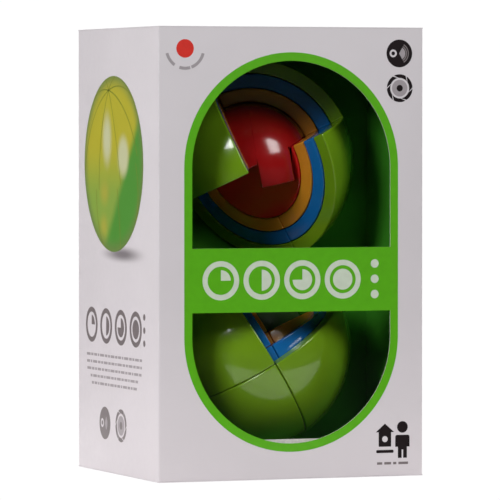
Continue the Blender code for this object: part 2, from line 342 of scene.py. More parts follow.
def clear_film(name):
    """Thin clear film: see-through, with a slightly wavy shine that grows at a slant."""
    made = Nodes(name)
    tree = made.tree
    tree.nodes.remove(made.shader)
    seen = made.add("BsdfTransparent")
    seen.inputs["Color"].default_value = (0.985, 0.99, 0.985, 1.0)
    shine = made.add("BsdfGlossy")
    shine.inputs["Roughness"].default_value = 0.03
    facing = made.add("LayerWeight")
    facing.inputs["Blend"].default_value = 0.5
    slant = made.add("Math", operation="POWER")
    slant.inputs[1].default_value = 5.0
    made.link(facing.outputs["Facing"], slant.inputs[0])
    share = made.add("Math", operation="MULTIPLY_ADD")
    share.inputs[1].default_value = 0.5
    share.inputs[2].default_value = 0.012
    made.link(slant.outputs["Value"], share.inputs[0])
    waves = made.add("Bump")
    waves.inputs["Distance"].default_value = 0.0004
    waves.inputs["Strength"].default_value = 0.3
    made.link(made.noise(16.0, 1.0), waves.inputs["Height"])
    made.link(waves.outputs["Normal"], shine.inputs["Normal"])
    mix = made.add("MixShader")
    made.link(share.outputs["Value"], mix.inputs["Fac"])
    made.link(seen.outputs["BSDF"], mix.inputs[1])
    made.link(shine.outputs["BSDF"], mix.inputs[2])
    made.link(mix.outputs["Shader"], tree.nodes["Material Output"].inputs["Surface"])
    return made.material


def printed_ball_ink(name, radius):
    """The printed ball: olive yellow above, greens below and to the right, with soft pale lights.

    Each patch is (centre, half sizes, share of them that is at full strength), in ball radii.
    """
    made = Nodes(name)
    above, below, right = (0.44, 0.40, 0.03), (0.23, 0.36, 0.055), (0.075, 0.27, 0.035)
    bounce, light, rim = (0.38, 0.37, 0.05), (0.54, 0.55, 0.33), (0.15, 0.22, 0.06)
    bounces = (((-0.31, -0.33), (0.24, 0.22), 0.0), ((-0.33, -0.72), (0.20, 0.22), 0.0))
    lights = (((-0.22, 0.28), (0.21, 0.40), 0.25), ((0.33, 0.09), (0.24, 0.30), 0.4))

    def with_patches(tone, patches, colour):
        for centre, half, full in patches:
            reach = made.distance(scaled(centre, radius), scaled(half, radius))
            tone = made.mix(made.fade(reach, 1.0, full), tone, colour)
        return tone

    tone = made.mix(made.fade(made.along((0.0, 1.0, 0.0)), -0.45 * radius, 0.25 * radius), below, above)
    tone = with_patches(tone, bounces, bounce)
    tone = made.mix(made.fade(made.along((0.79, -0.61, 0.0)), 0.26 * radius, 0.45 * radius), tone, right)
    tone = with_patches(tone, lights, light)
    tone = made.mix(made.fade(made.distance((0.0, 0.0), (radius, radius)), 0.82, 1.04), tone, rim)
    made.link(tone, made.shader.inputs["Base Color"])
    made.set(roughness=0.3)
    return made.material


def soft_shadow_ink(name, half_x, half_y):
    """A printed soft shadow: grey that fades into the board's white towards the ellipse's rim."""
    made = Nodes(name)
    place = made.distance((0.0, 0.0), (half_x, half_y))
    shade = made.mix(made.fade(place, 0.97, 0.1), BOARD_WHITE, (0.20, 0.18, 0.19))
    made.link(shade, made.shader.inputs["Base Color"])
    made.set(roughness=0.38, ior=1.45)
    return made.material


materials = {
    "board": coated_board("coated_board", BOARD_WHITE),
    "raw": raw_board("raw_board", (0.66, 0.64, 0.61)),
    "print_green": printing_ink("print_green", (0.092, 0.39, 0.008)),
    "print_pale": printing_ink("print_pale", (0.56, 0.64, 0.52)),
    "print_black": printing_ink("print_black", (0.010, 0.006, 0.007), 0.42, 0.15),
    "print_grey": printing_ink("print_grey", (0.17, 0.145, 0.148), 0.35),
    "print_light_grey": printing_ink("print_light_grey", (0.33, 0.30, 0.315), 0.35),
    "print_red": printing_ink("print_red", (0.62, 0.03, 0.02)),
    "print_line": printing_ink("print_line", (0.20, 0.23, 0.025)),
    "tray": formed_sheet("formed_sheet_green", (0.050, 0.28, 0.020)),
    # Painted shade: a darker, duller copy of the tray's green sheet for the dome deep in the lower ball's
    # recess
    "tray_painted_shade": formed_sheet("formed_sheet_painted_shade", (0.035, 0.075, 0.022), 0.3, 0.12),
    "film": clear_film("clear_film"),
    "green": moulded_plastic("moulded_green", (0.155, 0.30, 0.009), 0.05),
    "blue": moulded_plastic("moulded_blue", (0.007, 0.140, 0.44)),
    "yellow": moulded_plastic("moulded_yellow", (0.68, 0.26, 0.020), 0.05, 0.05),
    "red": moulded_plastic("moulded_red", (0.33, 0.006, 0.007)),
    # Painted light: the base piece is the same red plastic as the dome, in a copy more than twice as bright
    # so that its shaded face reads lit
    "red_painted_bright": moulded_plastic("moulded_red_painted_bright", (0.72, 0.014, 0.012)),
    "printed_ball": printed_ball_ink("printed_ball_ink", BALL_PRINT_RADIUS),
    "printed_shadow": soft_shadow_ink("printed_shadow_ink", *BALL_SHADOW),
}


# Object helpers


def add_object(name, data, material=None, body=None, matrix=None):
    obj = bpy.data.objects.new(name, data)
    bpy.context.scene.collection.objects.link(obj)
    if matrix:
        obj.matrix_world = matrix
    if material:
        data.materials.append(materials[material])
    if body:
        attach(obj, body)
    return obj


def dress(obj, *names):
    """Gives an object these materials and no others."""
    obj.data.materials.clear()
    for name in names:
        obj.data.materials.append(materials[name])


def mesh_from(bm, name, smooth=False):
    mesh = bpy.data.meshes.new(name)
    bmesh.ops.recalc_face_normals(bm, faces=bm.faces)
    bm.to_mesh(mesh)
    bm.free()
    if smooth:
        mesh.shade_smooth()
    return mesh


def box_mesh(name, low, high):
    bm = bmesh.new()
    size = Vector(high) - Vector(low)
    place = Matrix.Translation((Vector(low) + Vector(high)) / 2) @ Matrix.Diagonal((*size, 1.0))
    bmesh.ops.create_cube(bm, size=1.0, matrix=place)
    return mesh_from(bm, name)


def round_edges(obj, width):
    bevel = obj.modifiers.new("Rounded edges", "BEVEL")
    bevel.limit_method = "ANGLE"
    bevel.angle_limit = BEVEL_ANGLE
    bevel.width = width
    bevel.segments = 4
    bevel.harden_normals = True
    return bevel


def cut(obj, operation, tools):
    """Joins or cuts obj with each tool mesh (mesh, matrix) and keeps only the result."""
    cutters = []
    for number, (mesh, matrix) in enumerate(tools):
        cutter = add_object(f"{obj.name}_tool_{number}", mesh, matrix=matrix)
        modifier = obj.modifiers.new("cut", "BOOLEAN")
        modifier.operation = operation
        modifier.solver = "EXACT"
        modifier.object = cutter
        cutters.append(cutter)
    bpy.context.view_layer.update()
    graph = bpy.context.evaluated_depsgraph_get()
    result = bpy.data.meshes.new_from_object(obj.evaluated_get(graph))
    obj.modifiers.clear()
    obj.data = result
    for cutter in cutters:
        bpy.data.objects.remove(cutter)


def clean_mesh(obj, distance):
    """Merges the tiny edges that a cut leaves, so that a bevel runs smoothly along it."""
    bm = bmesh.new()
    bm.from_mesh(obj.data)
    bmesh.ops.remove_doubles(bm, verts=bm.verts, dist=distance)
    bmesh.ops.dissolve_degenerate(bm, edges=bm.edges, dist=distance / 4)
    bm.to_mesh(obj.data)
    bm.free()


# Ball


def ball_frame(centre, pole, start):
    """World matrix of a ball: Z along its pole and X as near as possible to longitude 0."""
    z = pole.normalized()
    x = (start - start.dot(z) * z).normalized()
    rotation = Matrix((x, z.cross(x), z)).transposed()
    return Matrix.Translation(centre) @ rotation.to_4x4()


def add_patch(bm, corners, radius):
    """An even three-cornered grid over a sphere's octant between three unit vectors at right angles."""
    grid = {}
    for i in range(PATCH_STEPS + 1):
        for j in range(PATCH_STEPS + 1 - i):
            shares = (i, j, PATCH_STEPS - i - j)
            pulls = (sin(pi / 2 * share / PATCH_STEPS) * corner for share, corner in zip(shares, corners))
            grid[i, j] = bm.verts.new(sum(pulls, Vector()).normalized() * radius)
    for i in range(PATCH_STEPS):
        for j in range(PATCH_STEPS - i):
            bm.faces.new((grid[i, j], grid[i + 1, j], grid[i, j + 1]))
            if i + j < PATCH_STEPS - 1:
                bm.faces.new((grid[i + 1, j], grid[i + 1, j + 1], grid[i, j + 1]))


def quarter_corners(hemisphere, first):
    """The corners of the 90 degree patch in a hemisphere, 1 or -1, from a longitude in degrees."""
    turns = (radians(first), radians(first + 90))
    around = [Vector((cos(turn), sin(turn), 0.0)) for turn in turns]
    return (*around, Vector((0.0, 0.0, float(hemisphere))))


def cut_normals(vert):
    """Unit normals, pointing into the piece, of the cut planes that meet at a point on its edge."""
    normals = []
    for edge in vert.link_edges:
        if not edge.is_boundary:
            continue
        normal = edge.verts[0].co.cross(edge.verts[1].co).normalized()
        if normal.dot(edge.link_faces[0].calc_center_median()) < 0:
            normal.negate()
        if all(normal.dot(other) < 0.99 for other in normals):
            normals.append(normal)
    return normals


def shell_mesh(name, outer, inner, quarters):
    """The patches of one sphere shell as a single solid, pulled back by CUT_GAP from each cut plane."""
    bm = bmesh.new()
    for quarter in quarters:
        add_patch(bm, quarter_corners(*quarter), outer)
    bmesh.ops.remove_doubles(bm, verts=bm.verts, dist=WELD)
    bmesh.ops.recalc_face_normals(bm, faces=bm.faces)
    pull = bm.verts.layers.float_vector.new("pull")
    for vert in bm.verts:
        vert[pull] = sum(cut_normals(vert), Vector()) * CUT_GAP
    outer_verts = set(bm.verts)
    bmesh.ops.extrude_face_region(bm, geom=bm.faces[:], use_keep_orig=True)
    for vert in bm.verts:
        if vert not in outer_verts:
            vert.co *= inner / outer
    for vert in bm.verts:
        vert.co += vert[pull]
    return mesh_from(bm, name, smooth=True)


def add_shell(node, layer, quarters, place):
    """A piece of one layer, made of quarters of a hemisphere, in place of its CAD node."""
    outer = BALL_RADIUS - layer * LAYER_STEP
    inner = outer - LAYER_STEP + GAP
    colour = COLOURS[layer]
    body = cad[node]["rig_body"]
    mesh = shell_mesh(node, outer, inner, quarters)
    mesh.transform(place)
    obj = add_object(f"{node}_shell", mesh, colour, body)
    round_edges(obj, EDGE_ROUND)
    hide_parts(node)


UPPER_SHELLS = {
    "front_octant": [(1, 0)],
    "rear_double": [(1, 270), (-1, 270 - JOG)],
    "side_double": [(1, 180), (-1, 180 - JOG)],
}
LOWER_SHELLS = {
    "left_octant": [(1, 270)],
    "base_octant": [(1, 0)],
    "right_octant": [(1, 90)],
}


def make_shells():
    """The layers of both balls. Returns the upper ball's frame."""
    turn = joints["green_front_turn"]
    upper = ball_frame(Vector(turn["pos_m"]), Vector(turn["axis"]), UPPER_START)
    for layer, colour in enumerate(COLOURS):
        for name, quarters in UPPER_SHELLS.items():
            add_shell(f"{colour}_{name}", layer, quarters, upper)
        turn = joints[f"{colour}_left_turn"]
        tip = Matrix.Rotation(layer * LOWER_STEP, 3, LOWER_STEP_AXIS.normalized())
        lower = ball_frame(Vector(turn["pos_m"]), -Vector(turn["axis"]), tip @ LOWER_START)
        for name, quarters in LOWER_SHELLS.items():
            add_shell(f"{colour}_{name}", layer, quarters, lower)
    return upper


def sphere_mesh(name, radius):
    """A whole sphere with the same even facets as the shells."""
    bm = bmesh.new()
    for hemisphere in (1, -1):
        for first in (0, 90, 180, 270):
            add_patch(bm, quarter_corners(hemisphere, first), radius)
    bmesh.ops.remove_doubles(bm, verts=bm.verts, dist=WELD)
    return mesh_from(bm, name, smooth=True)


def weigh_edges(obj):
    """Marks a core piece's edges: rounded below the ball's equator and sharp along the seams above it."""
    bm = bmesh.new()
    bm.from_mesh(obj.data)
    weight = bm.edges.layers.float.new("bevel_weight_edge")
    for edge in bm.edges:
        if len(edge.link_faces) == 2 and edge.calc_face_angle() > BEVEL_ANGLE:
            rounded = min(vert.co.z for vert in edge.verts) < CORE_SEAM_FOOT
            edge[weight] = 1.0 if rounded else 0.0
            edge.smooth = rounded
    bm.to_mesh(obj.data)
    bm.free()


def make_core(place):
    """Three solid pieces that fill the middle of the upper ball."""
    block = place @ Matrix.Rotation(FRONT_BLOCK_TURN, 4, "Y")
    lower_face = place @ Matrix.Rotation(radians(90 - JOG), 4, "Z")

    def piece(node, material, cuts):
        """What is left of the sphere outside each box (lowest corner, highest corner, matrix)."""
        solid = sphere_mesh(node, CORE_RADIUS)
        obj = add_object(f"{node}_solid", solid, material, None, place)
        cut(obj, "DIFFERENCE", [(box_mesh("tool", low, high), matrix) for low, high, matrix in cuts])
        clean_mesh(obj, CORE_TINY_EDGE)
        obj.data.shade_smooth()
        weigh_edges(obj)
        bevel = round_edges(obj, CORE_EDGE_ROUND)
        bevel.limit_method = "WEIGHT"
        bevel.use_clamp_overlap = False
        obj.data.transform(place)
        obj.matrix_world = Matrix.Identity(4)
        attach(obj, "carton")
        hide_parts(node)

    gap = CORE_SEAM / 2
    offset = FRONT_BLOCK_OFFSET
    piece("red_core_front", "red", [
        ((-offset - gap, -FAR, -FAR), (FAR, FAR, FAR), block),
        ((-FAR, -FAR, -FAR), (FAR, FAR, -TONGUE_DROP), block),
        ((-FAR, -FAR, -FAR), (-TONGUE_REACH, FAR, TONGUE_SHOULDER), block),
        ((-FAR, -FAR, -FAR), (FAR, gap, FAR), place),
        ((-FAR, -FAR, -FAR), (gap, FAR, gap), lower_face),
    ])
    piece("red_core_back", "red", [
        ((-FAR, -FAR, -FAR), (FAR, FAR, gap), place),
        ((-FAR, -gap, -FAR), (-offset + gap, FAR, FAR), block),
    ])
    # The base takes the brighter copy of the red: painted light on its shaded face
    piece("red_core_base", "red_painted_bright", [
        ((-FAR, -FAR, -gap), (FAR, FAR, FAR), place),
        ((-gap, -FAR, -FAR), (FAR, FAR, FAR), lower_face),
    ])


# Tray


def neck_mesh(name, radius, length):
    """A cylinder that runs from the origin towards +Y."""
    bm = bmesh.new()
    place = Matrix.Rotation(-pi / 2, 4, "X") @ Matrix.Translation((0, 0, length / 2))
    bmesh.ops.create_cone(
        bm, cap_ends=True, segments=72, radius1=radius, radius2=radius, depth=length, matrix=place
    )
    return mesh_from(bm, name)


def make_tray():
    """A box open to the front: a web, a cup round each ball and a dome on a neck in the lower cup."""
    half, wall = TRAY_HIGH.x, TRAY_WALL
    front, base, top = TRAY_LOW.y, TRAY_LOW.z, TRAY_HIGH.z
    outer = box_mesh("insert_tray", (-half, front, base), (half, TRAY_WEB + wall, top))
    tray = add_object("insert_tray_formed", outer, "tray", "carton")
    upper = Matrix.Translation(joints["green_front_turn"]["pos_m"])
    lower = Matrix.Translation(joints["green_left_turn"]["pos_m"])
    here = Matrix.Identity(4)
    cut(tray, "UNION", [(sphere_mesh("cup_wall", CUP_RADIUS + wall), place) for place in (upper, lower)])
    room = box_mesh("room", (wall - half, front - FAR, base + wall), (half - wall, TRAY_WEB, top - wall))
    cups = [(sphere_mesh("cup", CUP_RADIUS), place) for place in (upper, lower)]
    cut(tray, "DIFFERENCE", [*cups, (room, here)])
    neck = neck_mesh("neck", DOME_NECK_RADIUS, CUP_RADIUS + wall / 2)
    cut(tray, "UNION", [(sphere_mesh("dome", CORE_RADIUS), lower), (neck, lower)])
    bore = neck_mesh("bore", DOME_NECK_RADIUS - wall, FAR)
    ahead = box_mesh("ahead", (-FAR, -FAR, -FAR), (FAR, front, FAR))
    inside = sphere_mesh("inside", CORE_RADIUS - wall)
    cut(tray, "DIFFERENCE", [(inside, lower), (bore, lower), (ahead, here)])
    # The faces of the dome get the darker copy of the sheet: painted shade for the recess inside the lower
    # ball
    dress(tray, "tray", "tray_painted_shade")
    reach = CORE_RADIUS + wall / 4
    in_painted_shade = [(vert.co - lower.translation).length < reach for vert in tray.data.vertices]
    for face in tray.data.polygons:
        face.material_index = 1 if all(in_painted_shade[vert] for vert in face.vertices) else 0
    tray.data.shade_smooth()
    clean_mesh(tray, TRAY_TINY_EDGE)
    tray.data.set_sharp_from_angle(angle=SMOOTH_ANGLE)
    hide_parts("insert_tray")


# Carton


def upright(x, y, turn):
    """Places an XY outline upright at (x, y), its face turned about Z by an angle in degrees."""
    stood = Matrix.Rotation(radians(turn), 4, "Z") @ Matrix.Rotation(pi / 2, 4, "X")
    return Matrix.Translation((x, y, 0)) @ stood


FRONT_PLACE = upright(0, -DEPTH / 2, 0)
LEFT_PLACE = upright(-WIDTH / 2, 0, -90)
RIGHT_PLACE = upright(WIDTH / 2, 0, 90)
BACK_PLACE = upright(0, DEPTH / 2, 180)


def arc(x, y, radius, start, end, steps=24):
    """Points on an arc, angles in degrees from +X towards +Y."""
    turns = [radians(start + (end - start) * i / steps) for i in range(steps + 1)]
    return [(x + radius * cos(turn), y + radius * sin(turn)) for turn in turns]


def both_windows():
    """Two outlines, each a half round on a straight-sided base whose flat edge is along the band."""
    upper = arc(0, SPRING_HIGH, WINDOW_RADIUS, 0, 180, 48)
    lower = arc(0, SPRING_LOW, WINDOW_RADIUS, 180, 360, 48)
    return [
        [*upper, (-WINDOW_RADIUS, BAND_HIGH), (WINDOW_RADIUS, BAND_HIGH)],
        [*lower, (WINDOW_RADIUS, BAND_LOW), (-WINDOW_RADIUS, BAND_LOW)],
    ]


def stadium(radius):
    """An outline round both windows: two half rounds joined by straight sides."""
    return [*arc(0, SPRING_HIGH, radius, 0, 180, 64), *arc(0, SPRING_LOW, radius, 180, 360, 64)]


def prism_mesh(name, outline, low, high):
    bm = bmesh.new()
    face = bm.faces.new([bm.verts.new((x, y, low)) for x, y in outline])
    made = bmesh.ops.extrude_face_region(bm, geom=[face], use_keep_orig=True)
    for item in made["geom"]:
        if isinstance(item, bmesh.types.BMVert):
            item.co.z = high
    return mesh_from(bm, name)


def rounded_loop(half_x, half_y, radius, steps=6):
    """A rectangle with rounded corners, round the origin."""
    corners = ((1, 1, 0), (-1, 1, 90), (-1, -1, 180), (1, -1, 270))
    loop = []
    for side_x, side_y, start in corners:
        centre = (side_x * (half_x - radius), side_y * (half_y - radius))
        loop += arc(*centre, radius, start, start + 90, steps)
    return loop


def make_sleeve():
    """The four walls as one sheet folded at rounded creases, with the windows cut through the front."""
    outer = rounded_loop(WIDTH / 2, DEPTH / 2, CORNER)
    inner = rounded_loop(WIDTH / 2 - BOARD, DEPTH / 2 - BOARD, INNER_CORNER)
    bm = bmesh.new()
    rings = []
    for loop, z in ((outer, WALL_LOW), (outer, WALL_HIGH), (inner, WALL_HIGH), (inner, WALL_LOW)):
        rings.append([bm.verts.new((x, y, z)) for x, y in loop])
    for ring, after in zip(rings, rings[1:] + rings[:1]):
        for k in range(len(ring)):
            following = (k + 1) % len(ring)
            bm.faces.new((ring[k], ring[following], after[following], after[k]))
    sleeve = add_object("carton_sleeve", mesh_from(bm, "carton_sleeve"), "board", "carton")
    prisms = [prism_mesh("window", outline, -4 * BOARD, 4 * BOARD) for outline in both_windows()]
    cut(sleeve, "DIFFERENCE", [(prism, FRONT_PLACE) for prism in prisms])
    dress(sleeve, "board", "raw")
    tolerance = BOARD / 4
    for face in sleeve.data.polygons:
        x, y = face.center.xy
        on_outside = abs(abs(x) - WIDTH / 2) < tolerance or abs(abs(y) - DEPTH / 2) < tolerance
        rounded = hypot(face.normal.x, face.normal.y) > 0.9 and face.normal.dot(Vector((x, y, 0))) > 0
        near_corner = abs(x) > WIDTH / 2 - CORNER and abs(y) > DEPTH / 2 - CORNER
        face.material_index = 0 if on_outside or (rounded and near_corner) else 1
    sleeve.data.shade_smooth()
    sleeve.data.set_sharp_from_angle(angle=SMOOTH_ANGLE)
    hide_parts("carton_front", "carton_back", "carton_left", "carton_right")


def finish_cad_pieces():
    """The closures keep their solids and get softened edges. The film keeps its solid too."""
    panels = ("top_lid", "bottom_panel")
    for name, obj in cad.items():
        if "flap" not in name and name not in panels:
            continue
        dress(obj, "board" if name in panels else "raw")
        bevel = obj.modifiers.new("Soft edges", "BEVEL")
        bevel.width = FLAP_EDGE_ROUND
        bevel.segments = 2
        bevel.limit_method = "ANGLE"
    dress(cad["window_film"], "film")


# Print


def ink(name, outlines, material, place, lift=1, offset=(0.0, 0.0)):
    """A flat print from closed outlines on a panel. What lies inside an odd number of them is inked."""
    curve = bpy.data.curves.new(name, "CURVE")
    curve.dimensions = "2D"
    curve.fill_mode = "BOTH"
    curve.extrude = INK / 2
    for outline in outlines:
        spline = curve.splines.new("POLY")
        spline.points.add(len(outline) - 1)
        for point, (x, y) in zip(spline.points, outline):
            point.co = (x, y, 0.0, 1.0)
        spline.use_cyclic_u = True
    matrix = place @ Matrix.Translation((*offset, INK_LIFT * lift))
    add_object(name, curve, material, "carton", matrix)


def disc(x, y, radius, steps=48):
    return arc(x, y, radius, 0, 360 * (1 - 1 / steps), steps - 1)


def sector(x, y, inner, outer, start, end, steps=24):
    """A ring segment, or a pie slice where inner is 0."""
    rim = arc(x, y, outer, start, end, steps)
    return [*rim, *(arc(x, y, inner, end, start, steps) if inner else [(x, y)])]


def bar(x0, y0, x1, y1, radius=0.0):
    """A rectangle between two corners, with its own corners rounded where a radius is given."""
    if not radius:
        return [(x0, y0), (x1, y0), (x1, y1), (x0, y1)]
    centre_x, centre_y = (x0 + x1) / 2, (y0 + y1) / 2
    loop = rounded_loop((x1 - x0) / 2, (y1 - y0) / 2, radius)
    return [(x + centre_x, y + centre_y) for x, y in loop]


def progress_row(name, material, place, left, centre_y, size=RING_SIZE, pitch=RING_PITCH):
    """Four plain rings whose middles fill by quarters: a picture of the ball being built."""
    outlines = []
    for quarters in range(1, 5):
        x = left + size / 2 + (quarters - 1) * pitch
        middle = size * 0.27
        outlines += [disc(x, centre_y, size / 2), disc(x, centre_y, size * 0.36)]
        if quarters == 4:
            outlines.append(disc(x, centre_y, middle))
        else:
            outlines.append(sector(x, centre_y, 0.0, middle, 90, 90 - 90 * quarters))
    ink(name, outlines, material, place)


def dot_column(name, material, place, x, centre_y, radius, pitch, lift=1):
    dots = [disc(x, centre_y + step * pitch, radius, 24) for step in (-1, 0, 1)]
    ink(name, dots, material, place, lift)


def badge_layers(name, material, place, x, y, size):
    """A solid disc with a ring on the left and, on the right, a slice through nested shells."""
    start = x - size * 0.01
    ring_x = x - size * 0.24
    outlines = [disc(x, y, size / 2), disc(ring_x, y, size * 0.14, 24), disc(ring_x, y, size * 0.07, 24)]
    ink(name, outlines, material, place)
    shells = (("print_light_grey", 0.0, 0.24), ("print_grey", 0.26, 0.31), ("print_grey", 0.34, 0.38))
    for number, (shade, inner, outer) in enumerate(shells):
        slice_outline = sector(start, y, inner * size, outer * size, -60, 60)
        ink(f"{name}_{number}", [slice_outline], shade, place, 2)


def badge_blades(name, material, place, x, y, size):
    """A ring of six slanted blades round a grey disc."""
    outlines = []
    for number in range(6):
        first, last, slant = 60 * number + 3, 60 * number + 57, 22
        outside = arc(x, y, size / 2, first, last, 8)
        inside = arc(x, y, size * 0.37, last - slant, first - slant, 8)
        outlines.append([*outside, *inside])
    outlines.append(disc(x, y, size * 0.12, 24))
    ink(name, outlines, material, place, 2)
    ink(f"{name}_middle", [disc(x, y, size * 0.30)], "print_light_grey", place)


def word_row(left, right, low, height, first):
    """One line of plain bars as long as words, from left to right."""
    gap, lengths = height * 0.9, []
    while sum(lengths) + gap * len(lengths) < right - left:
        lengths.append(WORD_LENGTHS[(first + len(lengths)) % len(WORD_LENGTHS)] * height)
    stretch = (right - left - gap * (len(lengths) - 1)) / sum(lengths)
    outlines = []
    for length in lengths:
        outlines.append(bar(left, low, left + length * stretch, low + height))
        left += length * stretch + gap
    return outlines


def word_rows(name, material, place, middle, top, widths, height, pitch):
    """A centred paragraph of plain bars, where small print would be."""
    outlines = []
    for number, width in enumerate(widths):
        low = top - number * pitch - height
        outlines += word_row(middle - width / 2, middle + width / 2, low, height, 2 * number)
    ink(name, outlines, material, place)


def print_front():
    """The border round the windows, the row of rings on the band and the marks near the corners."""
    border = [stadium(WINDOW_RADIUS + BORDER), *both_windows()]
    ink("front_border_print", border, "print_green", FRONT_PLACE)
    on_band = FRONT_PLACE @ Matrix.Translation((0, 0, INK_LIFT))
    progress_row("front_row_print", "print_pale", on_band, FRONT_ROW_LEFT, BAND_MIDDLE)
    dots = (FRONT_DOTS_X, BAND_MIDDLE, FRONT_DOT_RADIUS, FRONT_DOT_PITCH)
    dot_column("front_dots_print", "print_pale", FRONT_PLACE, *dots, lift=2)
    print_captioned_dot()
    badge_layers("front_layers_print", "print_black", FRONT_PLACE, *LAYERS_PLACE, BADGE_SIZE)
    badge_blades("front_blades_print", "print_black", FRONT_PLACE, *BLADES_PLACE, BADGE_SIZE)
    print_house()
    print_figure()
    words = word_row(SMALL_WORDS_LEFT, SMALL_WORDS_RIGHT, SMALL_WORDS_LOW, WORD_HEIGHT, 1)
    ink("front_small_words_print", words, "print_grey", FRONT_PLACE)


def print_captioned_dot():
    """A red dot with three plain arcs under it, as long as words."""
    ink("front_dot_print", [disc(0, 0, RED_DOT_RADIUS)], "print_red", FRONT_PLACE, offset=RED_DOT_PLACE)
    spans = ((194, 236), (252, 286), (290, 346))
    arcs = [sector(0, 0, CAPTION_INNER, CAPTION_OUTER, start, end) for start, end in spans]
    ink("front_arcs_print", arcs, "print_light_grey", FRONT_PLACE, offset=RED_DOT_PLACE)


def print_house():
    """A small house with a round window, over a bar."""
    wall, eave, eave_height, ridge = 0.0033, 0.0049, 0.0071, 0.0113
    house = [
        (-wall, 0.0), (wall, 0.0), (wall, eave_height), (eave, eave_height),
        (0.0, ridge), (-eave, eave_height), (-wall, eave_height),
    ]
    outlines = [house, disc(0, 0.0037, 0.0015, 24)]
    ink("front_house_print", outlines, "print_black", FRONT_PLACE, offset=HOUSE_PLACE)
    under = bar(-0.0046, 0.0, 0.0046, 0.0015, 0.0005)
    ink("front_house_bar_print", [under], "print_black", FRONT_PLACE, offset=HOUSE_BAR_PLACE)


def print_figure():
    """A small standing figure."""
    leg_inside, leg_outside, arm, shoulder_round = 0.0004, 0.0024, 0.0038, 0.0010
    fork, hand, shoulder, head, head_radius = 0.0041, 0.0055, 0.0103, 0.0152, 0.00285
    body = [
        (-arm, hand), (-leg_outside, hand), (-leg_outside, 0.0), (-leg_inside, 0.0), (-leg_inside, fork),
        (leg_inside, fork), (leg_inside, 0.0), (leg_outside, 0.0), (leg_outside, hand), (arm, hand),
        *arc(arm - shoulder_round, shoulder, shoulder_round, 0, 90, 6),
        *arc(shoulder_round - arm, shoulder, shoulder_round, 90, 180, 6),
    ]
    outlines = [disc(0, head, head_radius, 32), body]
    ink("front_figure_print", outlines, "print_black", FRONT_PLACE, offset=FIGURE_PLACE)


def disc_mesh(name, half_x, half_y):
    """A flat ellipse as thick as the ink."""
    bm = bmesh.new()
    bmesh.ops.create_circle(bm, cap_ends=True, segments=96, radius=1.0)
    bmesh.ops.scale(bm, vec=(half_x, half_y, 1.0), verts=bm.verts)
    made = bmesh.ops.extrude_face_region(bm, geom=bm.faces[:], use_keep_orig=True)
    for item in made["geom"]:
        if isinstance(item, bmesh.types.BMVert):
            item.co.z -= INK
    return mesh_from(bm, name)


def thin_outline(spine, thickness):
    """A closed outline round a line of points."""
    left, right = [], []
    for before, here, after in zip([spine[0], *spine], spine, [*spine[1:], spine[-1]]):
        side = (after - before).orthogonal().normalized() * thickness / 2
        left.append(here + side)
        right.append(here - side)
    return [tuple(point) for point in [*left, *reversed(right)]]


def meridian(azimuth, thickness):
    """A seam of the printed ball, from its pole to the rim, as two thin outlines: it jogs at a break."""
    pole = BALL_PRINT_POLE.normalized()
    start = (BALL_PRINT_START - BALL_PRINT_START.dot(pole) * pole).normalized()
    before, after = range(0, BALL_PRINT_BREAK, 3), range(BALL_PRINT_BREAK, 180, 3)
    outlines = []
    for turn, falls in ((radians(azimuth), before), (radians(azimuth + BALL_PRINT_JOG), after)):
        around = cos(turn) * start + sin(turn) * pole.cross(start)
        points = [cos(radians(fall)) * pole + sin(radians(fall)) * around for fall in falls]
        spine = [point.to_2d() * BALL_PRINT_RADIUS for point in points if point.z > BALL_PRINT_RIM]
        if len(spine) > 1:
            outlines.append(thin_outline(spine, thickness))
    return outlines


def print_side(side, place, toward_front):
    """The picture of the ball over a row of rings. toward_front is +1 where local +X is the front."""
    centre = (-BALL_PRINT_SETBACK * toward_front, BALL_PRINT_HEIGHT)
    picture = disc_mesh("ball_print", BALL_PRINT_RADIUS, BALL_PRINT_RADIUS)
    at = place @ Matrix.Translation((*centre, 2 * INK_LIFT))
    add_object(f"{side}_ball_print", picture, "printed_ball", "carton", at)
    picture = disc_mesh("shadow_print", *BALL_SHADOW)
    at = place @ Matrix.Translation((centre[0] + BALL_SHADOW_SHIFT, BALL_SHADOW_HEIGHT, INK_LIFT))
    add_object(f"{side}_shadow_print", picture, "printed_shadow", "carton", at)
    for number in range(BALL_PRINT_SEAMS):
        seam = meridian(360 / BALL_PRINT_SEAMS * number, BALL_PRINT_SEAM)
        ink(f"{side}_line_{number}_print", seam, "print_line", place, 3, offset=centre)
    left = -SIDE_ROW_SETBACK * toward_front - SIDE_ROW_HALF
    rings = (left, SIDE_RING_HEIGHT, SIDE_RING_SIZE, SIDE_RING_PITCH)
    progress_row(f"{side}_row_print", "print_grey", place, *rings)
    dots = (left + SIDE_DOTS_X, SIDE_RING_HEIGHT, SIDE_DOT_RADIUS, SIDE_DOT_PITCH)
    dot_column(f"{side}_dots_print", "print_grey", place, *dots)
    rows = (left + SIDE_WORDS_X, SIDE_WORDS_TOP, SIDE_WORD_WIDTHS, SIDE_WORD_HEIGHT, SIDE_WORD_PITCH)
    word_rows(f"{side}_words_print", "print_light_grey", place, *rows)
    layers = (left + SIDE_LAYERS_X, SIDE_BADGE_HEIGHT, SIDE_BADGE_SIZE)
    badge_layers(f"{side}_layers_print", "print_grey", place, *layers)
    blades = (left + SIDE_BLADES_X, SIDE_BADGE_HEIGHT, SIDE_BADGE_SIZE)
    badge_blades(f"{side}_blades_print", "print_grey", place, *blades)


